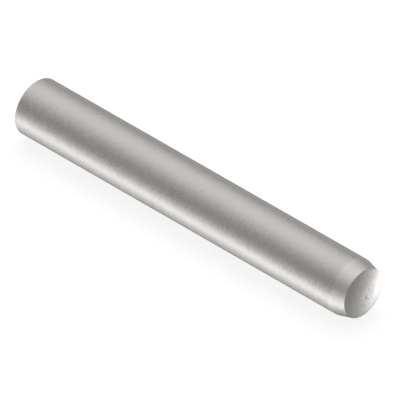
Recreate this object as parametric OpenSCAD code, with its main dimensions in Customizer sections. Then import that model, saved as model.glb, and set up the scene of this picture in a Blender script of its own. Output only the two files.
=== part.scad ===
// Parallel dowel pin, hardened and ground, with crowned ends and a tapered lead-in.
// Millimetres. The pin lies along X, with the lead-in end at +X and the middle of
// its overall length at the origin.

/* [Shank] */
// Nominal diameter, the size the pin is sold by
nominal_d = 6; // [3:0.5:20]
// How far the ground shank measures over nominal, the middle of the m6 band
ground_oversize = 0.008; // [0.002:0.001:0.02]
// Overall length, over both crowned ends
pin_length = 45; // [30:1:120]

/* [Lead-in end] */
// Length of the whole lead-in, taper and crown together, per mm of nominal diameter
lead_in_ratio = 0.35; // [0.28:0.01:0.4]
// Half angle of the lead-in taper, in degrees
taper_angle = 15; // [10:1:18]
// Radius that blends the shank into the taper, per mm of nominal diameter
blend_ratio = 0.25; // [0.1:0.05:0.3]
// Radius of the crown, per mm of nominal diameter
lead_crown_ratio = 1; // [0.9:0.05:1.4]

/* [Plain end] */
// Radius of the crown, per mm of nominal diameter
plain_crown_ratio = 1; // [0.8:0.05:1.4]

/* [Finish] */
// Radius that the rims of both crowns are broken to
rim_break = 0.1; // [0.04:0.02:0.14]

/* [Hidden] */
$fn = 128;

shank_r = (nominal_d + ground_oversize) / 2;
lead_in = lead_in_ratio * nominal_d;
blend_r = blend_ratio * nominal_d;
lead_crown_r = lead_crown_ratio * nominal_d;
plain_crown_r = plain_crown_ratio * nominal_d;

// The half section is drawn with r along its first axis and the pin's axis along its second
half_l = pin_length / 2;
taper_z = half_l - lead_in;              // where the taper leaves the shank
lead_crown_z = half_l - lead_crown_r;    // centres of the two crowns
plain_crown_z = plain_crown_r - half_l;

// How far along the taper a line r = r0 - z * tan(a) meets a circle of radius c on the axis,
// dz past the line's start
function run_to_circle(r0, dz, a, c) =
    let (t = tan(a), qa = 1 + t * t, qb = -(dz + r0 * t), qc = dz * dz + r0 * r0 - c * c)
    (-qb + sqrt(qb * qb - qa * qc)) / qa;

// Centre of the rounding on the lead-in rim: rim_break inside both the taper and the crown
lead_rim_r0 = shank_r - rim_break / cos(taper_angle);
lead_rim_t = run_to_circle(lead_rim_r0, lead_crown_z - taper_z, taper_angle, lead_crown_r - rim_break);
lead_rim = [lead_rim_r0 - lead_rim_t * tan(taper_angle), taper_z + lead_rim_t];

// Centre of the rounding on the plain rim: rim_break inside both the shank and the crown
plain_rim_t = run_to_circle(shank_r - rim_break, 0, 0, plain_crown_r - rim_break);
plain_rim = [shank_r - rim_break, plain_crown_z - plain_rim_t];

// Directions that the surfaces face, in the half section
shank_out = [1, 0];
taper_out = [cos(taper_angle), sin(taper_angle)];
lead_crown_out = (lead_rim - [0, lead_crown_z]) / norm(lead_rim - [0, lead_crown_z]);
plain_crown_out = (plain_rim - [0, plain_crown_z]) / norm(plain_rim - [0, plain_crown_z]);

// The roundings are this much over size, so that they run into their neighbours cleanly
ease = 0.0002;

// What a rounding of radius r takes off the corner between the faces that look along a and b
module corner(centre, a, b, r, reach) {
    translate(centre)
        difference() {
            polygon([[0, 0], reach * r * a, reach * r * (a + b) / norm(a + b) * 1.1, reach * r * b]);
            circle(r = r + ease);
        }
}

// Everything inside one crown: dir is 1 for the end at +z and -1 for the end at -z
module crown_limit(z, r, dir) {
    union() {
        translate([0, z]) circle(r = r);
        translate([0, dir > 0 ? z - pin_length : z]) square([shank_r * 1.1, pin_length]);
    }
}

// Shank and taper as ground, before the ends are crowned
module ground_outline() {
    polygon([
        [0, -pin_length],
        [shank_r, -pin_length],
        [shank_r, taper_z],
        [shank_r - lead_in * tan(taper_angle), taper_z + lead_in],
        [0, taper_z + lead_in]
    ]);
}

// Half of the pin's section, on one side of its axis
module half_section() {
    difference() {
        intersection() {
            ground_outline();
            crown_limit(lead_crown_z, lead_crown_r, 1);
            crown_limit(plain_crown_z, plain_crown_r, -1);
        }
        corner(plain_rim, plain_crown_out, shank_out, rim_break, 3);
        corner([shank_r - blend_r, taper_z - blend_r * tan(taper_angle / 2)], shank_out, taper_out, blend_r, 1.2);
        corner(lead_rim, taper_out, lead_crown_out, rim_break, 3);
    }
}

// The whole pin, turned and ground from one bar
module dowel_pin() {
    color([0.74, 0.73, 0.71])
        rotate([0, 90, 0])
            rotate_extrude(convexity = 4)
                half_section();
}

dowel_pin();
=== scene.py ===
"""Looks of the hardened and ground dowel pin: the lathe-turned mesh, its steel, a pale floor, soft studio light, camera.

The pin lies along X with its lead-in end at +X, on a floor at the bottom of the shank. Lengths in the tables are
millimetres and become metres where the mesh is made.
"""
import math

import bpy
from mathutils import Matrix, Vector, noise


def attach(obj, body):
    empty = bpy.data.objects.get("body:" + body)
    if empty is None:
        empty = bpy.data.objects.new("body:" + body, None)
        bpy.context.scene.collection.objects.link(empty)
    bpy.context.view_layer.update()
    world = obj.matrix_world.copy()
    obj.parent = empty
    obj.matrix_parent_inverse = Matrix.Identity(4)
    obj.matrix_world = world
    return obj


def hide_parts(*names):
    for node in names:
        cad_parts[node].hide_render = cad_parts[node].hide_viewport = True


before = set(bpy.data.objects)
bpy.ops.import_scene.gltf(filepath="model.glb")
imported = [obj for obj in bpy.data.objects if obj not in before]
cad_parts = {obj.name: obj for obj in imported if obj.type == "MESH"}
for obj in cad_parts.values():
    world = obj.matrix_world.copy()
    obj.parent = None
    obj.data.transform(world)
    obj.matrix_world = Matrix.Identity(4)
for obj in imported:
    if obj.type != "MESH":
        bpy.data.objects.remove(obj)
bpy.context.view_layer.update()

MM = 0.001
SEGMENTS = 288

# ---------------------------------------------------------------------------------------------------- outline
R_SHANK = 3.004
HALF_L = 22.5
CROWN_R = 6.0
RIM_R = 0.1
PLAIN_CROWN_X = -16.5  # centre of the plain end's crown
PLAIN_RIM = (-21.63592, 2.904)  # centre of the rounding between crown and shank, (x, radius)
LEAD_CROWN_X = 16.5
LEAD_RIM = (21.83690, 2.51546)  # centre of the rounding between taper and crown
BLEND = (20.2025, 1.504)  # centre of the wide rounding between shank and taper
BLEND_R = 1.5
TAPER = 15.0  # degrees between the taper and the axis


def arc(cx, cr, r, a0, a1, n):
    """n + 1 points of the outline on a circle, from angle a0 to a1 in degrees, measured from +X towards the radius."""
    turns = [math.radians(a0 + (a1 - a0) * i / n) for i in range(n + 1)]
    return [(cx + r * math.cos(t), cr + r * math.sin(t)) for t in turns]


def line(p, q, n, ease=0.0):
    """Points strictly between p and q. With ease, they crowd towards both ends."""
    out = []
    for i in range(1, n):
        t = i / n
        t = (1 - ease) * t + ease * (0.5 - 0.5 * math.cos(math.pi * t))
        out.append((p[0] + (q[0] - p[0]) * t, p[1] + (q[1] - p[1]) * t))
    return out


plain_edge = 180 - math.degrees(math.atan2(PLAIN_RIM[1], PLAIN_CROWN_X - PLAIN_RIM[0]))
lead_edge = math.degrees(math.atan2(LEAD_RIM[1], LEAD_RIM[0] - LEAD_CROWN_X))
plain_crown = arc(PLAIN_CROWN_X, 0, CROWN_R, 180, plain_edge, 60)[1:]
plain_rim = arc(*PLAIN_RIM, RIM_R, plain_edge, 90, 10)[1:]
blend = arc(*BLEND, BLEND_R, 90, 90 - TAPER, 8)
lead_rim = arc(*LEAD_RIM, RIM_R, 90 - TAPER, lead_edge, 10)
lead_crown = arc(LEAD_CROWN_X, 0, CROWN_R, lead_edge, 0, 72)[1:-1]
outline = (
    plain_crown
    + plain_rim
    + line(plain_rim[-1], blend[0], 64, ease=0.9)
    + blend
    + line(blend[-1], lead_rim[0], 10, ease=0.6)
    + lead_rim
    + lead_crown
)

# ------------------------------------------------------------------------------------------------ crowned ends
# The ends aren't ground. They keep the parting tool's pip in the middle, the tumbling barrel's soft mottling, and a
# few nicks: (y, z, radius, depth).
PIP = (0.02, -0.02, 0.26, 0.022)  # y, z, radius, height
HOLLOW = (0.62, 0.022)  # radius and depth of the dip that the pip stands in
LEAD_NICKS = [
    (-0.26, -0.08, 0.13, 0.008),
    (0.03, -0.33, 0.12, 0.012),
    (0.62, 0.41, 0.10, 0.006),
    (0.20, 0.64, 0.13, 0.006),
    (0.76, -0.04, 0.09, 0.004),
    (0.44, -1.20, 0.09, 0.006),
    (-0.23, -1.34, 0.11, 0.006),
    (-0.84, -0.77, 0.13, 0.006),
    (-0.43, -0.97, 0.11, 0.005),
    (0.95, 1.50, 0.08, 0.005),
]
PLAIN_NICKS = [
    (0.31, 0.22, 0.08, 0.008),
    (-0.52, 0.75, 0.08, 0.006),
    (-0.95, -0.35, 0.09, 0.006),
    (0.75, -1.05, 0.08, 0.006),
    (1.52, 0.66, 0.09, 0.005),
    (-0.40, 1.65, 0.07, 0.005),
    (-1.30, -1.45, 0.08, 0.005),
]
MOTTLE = (2.3, 0.010)  # per millimetre, and how deep


def relief(y, z, nicks, seed):
    """(depth in millimetres, how much painted shade darkens the floor of a nick) of a crowned end at (y, z)."""
    r = math.hypot(y - PIP[0], z - PIP[1])
    depth = HOLLOW[1] * math.exp(-((r / HOLLOW[0]) ** 2)) - PIP[3] * math.exp(-((r / PIP[2]) ** 2) * 1.2)
    soft = 0.5 + 0.5 * noise.noise(Vector((y * MOTTLE[0], z * MOTTLE[0], seed)))
    fade = max(0.0, min(1.0, (2.45 - math.hypot(y, z)) / 0.35))
    depth += MOTTLE[1] * soft * fade
    painted_shade = 0.0
    for ny, nz, nr, nd in nicks:
        q = math.hypot(y - ny, z - nz) / nr
        if q < 2.5:
            hole = math.exp(-1.8 * q * q)
            depth += nd * (hole - 0.2 * math.exp(-5 * (q - 1.5) ** 2))
            # painted shade: the floor of a nick is darkened, as shade falls in the hollow
            painted_shade = max(painted_shade, hole * min(1.0, nd / 0.008))
    return depth, painted_shade


def pin_mesh():
    verts, painted_shade = [], []

    def put(x, r, i):
        a = 2 * math.pi * (i + 0.5) / SEGMENTS
        y, z = r * math.cos(a), r * math.sin(a)
        d, k = 0.0, 0.0
        if x > LEAD_RIM[0] and r < LEAD_RIM[1] - 0.06:
            d, k = relief(y, z, LEAD_NICKS, 3.7)
        elif x < PLAIN_RIM[0] and r < PLAIN_RIM[1] - 0.06:
            d, k = relief(y, z, PLAIN_NICKS, 8.2)
        verts.append(((x - math.copysign(d, x)) * MM, y * MM, z * MM))
        painted_shade.append(k)

    put(-HALF_L, 0.0, 0)
    for x, r in outline:
        for i in range(SEGMENTS):
            put(x, r, i)
    put(HALF_L, 0.0, 0)
    last = len(verts) - 1
    faces = []
    for i in range(SEGMENTS):
        j = (i + 1) % SEGMENTS
        faces.append((0, 1 + j, 1 + i))
        for k in range(len(outline) - 1):
            a, b = 1 + k * SEGMENTS, 1 + (k + 1) * SEGMENTS
            faces.append((a + i, a + j, b + j, b + i))
        k = 1 + (len(outline) - 1) * SEGMENTS
        faces.append((k + i, k + j, last))
    mesh = bpy.data.meshes.new("ground_dowel_pin")
    mesh.from_pydata(verts, [], faces)
    mesh.validate()
    mesh.update()
    mesh.polygons.foreach_set("use_smooth", [True] * len(mesh.polygons))
    # the nicks' painted shade, kept on the mesh for the steel's colour
    mesh.attributes.new("nick_shade", "FLOAT", "POINT").data.foreach_set("value", painted_shade)
    return mesh


pin = bpy.data.objects.new("ground_dowel_pin", pin_mesh())
bpy.context.scene.collection.objects.link(pin)


# ------------------------------------------------------------------------------------------------------- steel
class Nodes:
    """Short calls for building a node tree."""

    def __init__(self, tree):
        self.tree = tree
        tree.nodes.clear()

    def add(self, kind, **values):
        node = self.tree.nodes.new(kind)
        for k, v in values.items():
            setattr(node, k, v)
        return node

    def put(self, socket, value):
        if isinstance(value, bpy.types.NodeSocket):
            self.tree.links.new(value, socket)
        else:
            socket.default_value = value

    def math(self, op, a, b=0.0, c=0.0):
        n = self.add("ShaderNodeMath", operation=op)
        for s, v in zip(n.inputs, (a, b, c)):
            self.put(s, v)
        return n.outputs[0]

    def vec(self, op, a, b=(0.0, 0.0, 0.0)):
        n = self.add("ShaderNodeVectorMath", operation=op)
        self.put(n.inputs[0], a)
        self.put(n.inputs[1], b)
        return n.outputs["Value" if op == "DOT_PRODUCT" else "Vector"]

    def noise(self, vector, scale, detail=2.0, rough=0.5, colour=False):
        n = self.add("ShaderNodeTexNoise", noise_dimensions="3D")
        self.put(n.inputs["Vector"], vector)
        n.inputs["Scale"].default_value = scale
        n.inputs["Detail"].default_value = detail
        n.inputs["Roughness"].default_value = rough
        return n.outputs["Color" if colour else "Fac"]

    def cells(self, vector, scale):
        n = self.add("ShaderNodeTexVoronoi", feature="F1")
        self.put(n.inputs["Vector"], vector)
        n.inputs["Scale"].default_value = scale
        return n.outputs["Color"]

    def ramp(self, value, a, b, lo=0.0, hi=1.0):
        n = self.add("ShaderNodeMapRange", interpolation_type="SMOOTHSTEP")
        self.put(n.inputs["Value"], value)
        for name, v in (("From Min", a), ("From Max", b), ("To Min", lo), ("To Max", hi)):
            n.inputs[name].default_value = v
        return n.outputs["Result"]

    def grey(self, value):
        n = self.add("ShaderNodeCombineXYZ")
        for s in n.inputs:
            self.put(s, value)
        return n.outputs[0]

    def blend(self, fac, a, b):
        n = self.add("ShaderNodeMix", data_type="RGBA")
        self.put(n.inputs["Factor"], fac)
        self.put(n.inputs["A"], a)
        self.put(n.inputs["B"], b)
        return n.outputs["Result"]


STEEL = (0.740, 0.705, 0.680)  # ground
STEEL_END = (0.737, 0.719, 0.698)  # turned and tumbled
LINE_HEIGHT = 0.004  # millimetres
# The flecks: how many to a millimetre, how much they vary in tone, in roughness and in lean, and how much of all that
# the two ends keep.
FLECK_SCALE, FLECK_TONE, FLECK_ROUGH, FLECK_TILT, FLECK_END = 4.2, 0.01, 0.17, 0.075, 0.5


def steel():
    mat = bpy.data.materials.new("ground_steel")
    mat.use_nodes = True
    n = Nodes(mat.node_tree)
    mm = n.vec("MULTIPLY", n.add("ShaderNodeTexCoord").outputs["Object"], (1000.0, 1000.0, 1000.0))
    split = n.add("ShaderNodeSeparateXYZ")
    n.put(split.inputs[0], mm)
    x = split.outputs["X"]
    # where the two crowned ends are: turned and tumbled, not ground
    lead = n.ramp(x, 21.88, 21.94)
    plain = n.ramp(x, -21.66, -21.72)
    crown = n.math("MAXIMUM", lead, plain)

    # drawn out round the pin, as grinding leaves it, and turned off the axes, so that no row of the noise's own
    # lattice shows along the pin
    askew = n.add("ShaderNodeVectorRotate", rotation_type="EULER_XYZ")
    n.put(askew.inputs["Vector"], n.vec("MULTIPLY", mm, (1.3, 0.82, 0.82)))
    askew.inputs["Rotation"].default_value = (0.61, 0.93, 0.37)
    # bright and dull flecks, coarse and fine, with ragged outlines
    ragged = n.vec("SUBTRACT", n.noise(askew.outputs[0], 14.0, 2.0, 0.6, colour=True), (0.5, 0.5, 0.5))
    ragged = n.vec("ADD", n.vec("MULTIPLY", ragged, (0.16, 0.16, 0.16)), askew.outputs[0])
    coarse, fine = n.cells(ragged, FLECK_SCALE), n.cells(ragged, FLECK_SCALE * 2.1)
    flecks = n.vec("ADD", n.vec("MULTIPLY", coarse, (0.68, 0.68, 0.68)), n.vec("MULTIPLY", fine, (0.32, 0.32, 0.32)))
    flecks = n.vec("SUBTRACT", flecks, (0.5, 0.5, 0.5))
    flecks = n.vec("MULTIPLY", flecks, n.grey(n.math("MULTIPLY_ADD", crown, FLECK_END - 1.0, 1.0)))
    parts = n.add("ShaderNodeSeparateXYZ")
    n.put(parts.inputs[0], flecks)
    fleck, tone = parts.outputs["X"], parts.outputs["Y"]
    lines = n.noise(n.vec("MULTIPLY", mm, (32.0, 1.6, 1.6)), 1.0, 3.0, 0.7)  # grinding lay, round the pin
    cloud = n.noise(n.vec("MULTIPLY", mm, (0.35, 0.8, 0.8)), 1.0, 2.0, 0.5)  # slow changes of the finish

    bump = n.add("ShaderNodeBump")
    bump.inputs["Strength"].default_value = 1.0
    bump.inputs["Distance"].default_value = LINE_HEIGHT * MM
    n.put(bump.inputs["Height"], lines)
    tilt = n.vec("MULTIPLY", flecks, (FLECK_TILT, FLECK_TILT, FLECK_TILT))
    normal = n.vec("ADD", n.add("ShaderNodeNewGeometry").outputs["Normal"], tilt)
    n.put(bump.inputs["Normal"], n.vec("NORMALIZE", normal))

    colour = n.blend(crown, STEEL + (1.0,), STEEL_END + (1.0,))
    tint = n.math("MULTIPLY_ADD", tone, FLECK_TONE, 1.0)
    nick_shade = n.add("ShaderNodeAttribute", attribute_name="nick_shade").outputs["Fac"]  # painted shade: the floor of a nick is darkened in colour; it is also duller
    tint = n.math("MULTIPLY", tint, n.math("MULTIPLY_ADD", nick_shade, -0.36, 1.0))
    colour = n.vec("MULTIPLY", colour, n.grey(tint))
    rough = n.math("MULTIPLY_ADD", n.math("SUBTRACT", cloud, 0.5), 0.06, 0.30)
    rough = n.math("MULTIPLY_ADD", fleck, FLECK_ROUGH, rough)
    rough = n.math("MULTIPLY_ADD", crown, 0.02, rough)
    rough = n.math("MULTIPLY_ADD", nick_shade, 0.15, rough)

    bsdf = n.add("ShaderNodeBsdfPrincipled")
    bsdf.inputs["Metallic"].default_value = 1.0
    n.put(bsdf.inputs["Base Color"], colour)
    n.put(bsdf.inputs["Roughness"], rough)
    n.put(bsdf.inputs["Normal"], bump.outputs["Normal"])
    out = n.add("ShaderNodeOutputMaterial")
    n.put(out.inputs["Surface"], bsdf.outputs["BSDF"])
    return mat


pin.data.materials.append(steel())
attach(pin, "root")
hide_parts("dowel_pin")


# ------------------------------------------------------------------------------------------------------- floor
def floor_disc(radius, z, rings=24, around=96):
    verts, faces = [(0.0, 0.0, z)], []
    for k in range(1, rings + 1):
        r = radius * (k / rings) ** 2
        for i in range(around):
            a = 2 * math.pi * i / around
            verts.append((r * math.cos(a), r * math.sin(a), z))
    for i in range(around):
        j = (i + 1) % around
        faces.append((0, 1 + i, 1 + j))
        for k in range(rings - 1):
            a, b = 1 + k * around, 1 + (k + 1) * around
            faces.append((a + i, b + i, b + j, a + j))
    mesh = bpy.data.meshes.new("floor")
    mesh.from_pydata(verts, [], faces)
    mesh.update()
    return mesh


floor = bpy.data.objects.new("floor", floor_disc(2.5, -R_SHANK * MM))
bpy.context.scene.collection.objects.link(floor)
paper = bpy.data.materials.new("pale_floor")
paper.use_nodes = True
n = Nodes(paper.node_tree)
bsdf = n.add("ShaderNodeBsdfPrincipled")
bsdf.inputs["Base Color"].default_value = (0.3, 0.3, 0.3, 1.0)
bsdf.inputs["Roughness"].default_value = 0.9
bsdf.inputs["Specular IOR Level"].default_value = 0.0
bsdf.inputs["Emission Color"].default_value = (1.0, 1.0, 1.0, 1.0)
bsdf.inputs["Emission Strength"].default_value = 0.80
n.put(n.add("ShaderNodeOutputMaterial").inputs["Surface"], bsdf.outputs["BSDF"])
floor.data.materials.append(paper)
floor.visible_glossy = False  # the steel reflects the studio, below the horizon as well as above it
floor.visible_shadow = False

# A painted shadow that the steel alone sees in its reflections: a dim strip on the floor close under the pin, standing
# for the narrow wedge that the pin keeps in the dark.
SHADE_IN, SHADE_OUT = 0.70, 1.30  # mm to each side of the line of contact
SHADE_FROM, SHADE_TO = (-21.85, -21.70), (20.9, 22.6)  # mm along it: where it fades in, and out
shade_mesh = bpy.data.meshes.new("contact_shade")
shade_mesh.from_pydata(
    [(x * MM, y * MM, -R_SHANK * MM) for x in (SHADE_FROM[0], SHADE_TO[1]) for y in (-SHADE_OUT, SHADE_OUT)],
    [],
    [(0, 2, 3, 1)],
)
shade = bpy.data.objects.new("contact_shade", shade_mesh)
bpy.context.scene.collection.objects.link(shade)
painted_shade = bpy.data.materials.new("contact_shade")
painted_shade.use_nodes = True
n = Nodes(painted_shade.node_tree)
across = n.add("ShaderNodeSeparateXYZ")
n.put(across.inputs[0], n.vec("MULTIPLY", n.add("ShaderNodeTexCoord").outputs["Object"], (1000.0, 1000.0, 1000.0)))
depth = n.ramp(n.math("ABSOLUTE", across.outputs["Y"]), SHADE_IN, SHADE_OUT, 1.0, 0.0)
depth = n.math("MULTIPLY", depth, n.ramp(across.outputs["X"], *SHADE_FROM))
depth = n.math("MULTIPLY", depth, n.ramp(across.outputs["X"], *SHADE_TO, 1.0, 0.0))
mix = n.add("ShaderNodeMixShader")
n.put(mix.inputs[0], depth)
n.put(mix.inputs[1], n.add("ShaderNodeBsdfTransparent").outputs[0])
# the painted shadow's dim grey
glow = n.add("ShaderNodeEmission")
glow.inputs["Strength"].default_value = 0.13
n.put(mix.inputs[2], glow.outputs[0])
n.put(n.add("ShaderNodeOutputMaterial").inputs["Surface"], mix.outputs[0])
shade_mesh.materials.append(painted_shade)
for kind in ("camera", "diffuse", "shadow", "transmission", "volume_scatter"):
    setattr(shade, "visible_" + kind, False)


# -------------------------------------------------------------------------------------------------------- light
def direction(azimuth, elevation):
    a, e = math.radians(azimuth), math.radians(elevation)
    return (math.cos(e) * math.sin(a), -math.cos(e) * math.cos(a), math.sin(e))


# The studio: a soft sky, and soft lights in it. Azimuth 0 is the -Y side and 90 is +X.
SKY_HORIZON, SKY_UP, SKY_DOWN = (0.205, 0.197, 0.192), (0.619, 0.632, 0.611), (0.106, 0.125, 0.120)
SOFT_LIGHTS = [  # azimuth, elevation, width in degrees, colour
    (-142.5, 53, 28.5, (0.336, 0.345, 0.353)),
    (-50, 72.3, 19.3, (0.167, 0.144, 0.171)),
    (-43, -38.4, 14.1, (0.769, 0.776, 0.787)),
    (3, -38.9, 26.2, (0.964, 0.975, 0.982)),
    (-91.5, -54, 11, (0.329, 0.325, 0.333)),
    (-145, -8, 11, (0.141, 0.170, 0.178)),
    (-178, -4, 10, (0.300, 0.305, 0.310)),
    (142.3, -27.8, 18.7, (0.648, 0.638, 0.633)),
    (174.2, -33.1, 13.6, (1.463, 1.481, 1.532)),
    (95, 45, 13, (0.550, 0.552, 0.555)),  # for the views of the back and of the lead-in end
]

world = bpy.data.worlds.new("soft_studio")
world.use_nodes = True
n = Nodes(world.node_tree)
ray = n.add("ShaderNodeTexCoord").outputs["Generated"]
split = n.add("ShaderNodeSeparateXYZ")
n.put(split.inputs[0], ray)
z = split.outputs["Z"]
up = n.math("POWER", n.math("MAXIMUM", z, 0.0), 2.0)
down = n.math("POWER", n.math("MAXIMUM", n.math("MULTIPLY", z, -1.0), 0.0), 2.0)
level = n.math("SUBTRACT", 1.0, n.math("ADD", up, down))
light = n.vec("MULTIPLY", n.grey(level), SKY_HORIZON)
light = n.vec("ADD", light, n.vec("MULTIPLY", n.grey(up), SKY_UP))
light = n.vec("ADD", light, n.vec("MULTIPLY", n.grey(down), SKY_DOWN))
for az, el, width, colour in SOFT_LIGHTS:
    near = n.math("SUBTRACT", n.vec("DOT_PRODUCT", ray, direction(az, el)), 1.0)
    lobe = n.math("EXPONENT", n.math("MULTIPLY", near, 1 / math.radians(width) ** 2))
    light = n.vec("ADD", light, n.vec("MULTIPLY", n.grey(lobe), colour))
studio = n.add("ShaderNodeBackground")
n.put(studio.inputs["Color"], light)
backdrop = n.add("ShaderNodeBackground")
mix = n.add("ShaderNodeMixShader")
n.put(mix.inputs[0], n.add("ShaderNodeLightPath").outputs["Is Camera Ray"])
n.put(mix.inputs[1], studio.outputs[0])
n.put(mix.inputs[2], backdrop.outputs[0])
n.put(n.add("ShaderNodeOutputWorld").inputs["Surface"], mix.outputs[0])
studio.inputs["Strength"].default_value = 1.0
backdrop.inputs["Color"].default_value = (1.0, 1.0, 1.0, 1.0)
backdrop.inputs["Strength"].default_value = 1.0
bpy.context.scene.world = world

# A softbox overhead, which only the floor sees: it lays the pin's soft shadow.
box = bpy.data.lights.new("overhead_softbox", "AREA")
box.shape = "DISK"
box.size = 0.5
box.energy = 1.0
lamp = bpy.data.objects.new("overhead_softbox", box)
lamp.location = Vector(direction(-136, 62)) * 0.7
lamp.rotation_mode = "QUATERNION"
lamp.rotation_quaternion = Vector(lamp.location).to_track_quat("Z", "Y")
lamp.visible_camera = False
lamp.visible_glossy = False
bpy.context.scene.collection.objects.link(lamp)

# ------------------------------------------------------------------------------------------------------- camera
AZIMUTH, ELEVATION = 44.262, 36.020
WIDTH = 38.284 * MM  # what the frame is across, at the pin
cam = bpy.data.cameras.new("camera")
cam.sensor_fit = "HORIZONTAL"
cam.sensor_width = 36.0
cam.lens = 1700.0
distance = WIDTH * cam.lens / cam.sensor_width
back = Vector(direction(AZIMUTH, ELEVATION))
right = Vector((math.cos(math.radians(AZIMUTH)), math.sin(math.radians(AZIMUTH)), 0.0))
above = back.cross(right)
aim = right * (0.183 * MM) - above * (0.118 * MM)
camera = bpy.data.objects.new("camera", cam)
camera.location = aim + back * distance
camera.rotation_mode = "QUATERNION"
camera.rotation_quaternion = back.to_track_quat("Z", "Y")
cam.clip_start, cam.clip_end = 0.05, 20.0
bpy.context.scene.collection.objects.link(camera)
bpy.context.scene.camera = camera
bpy.context.scene.view_settings.view_transform = "Standard"
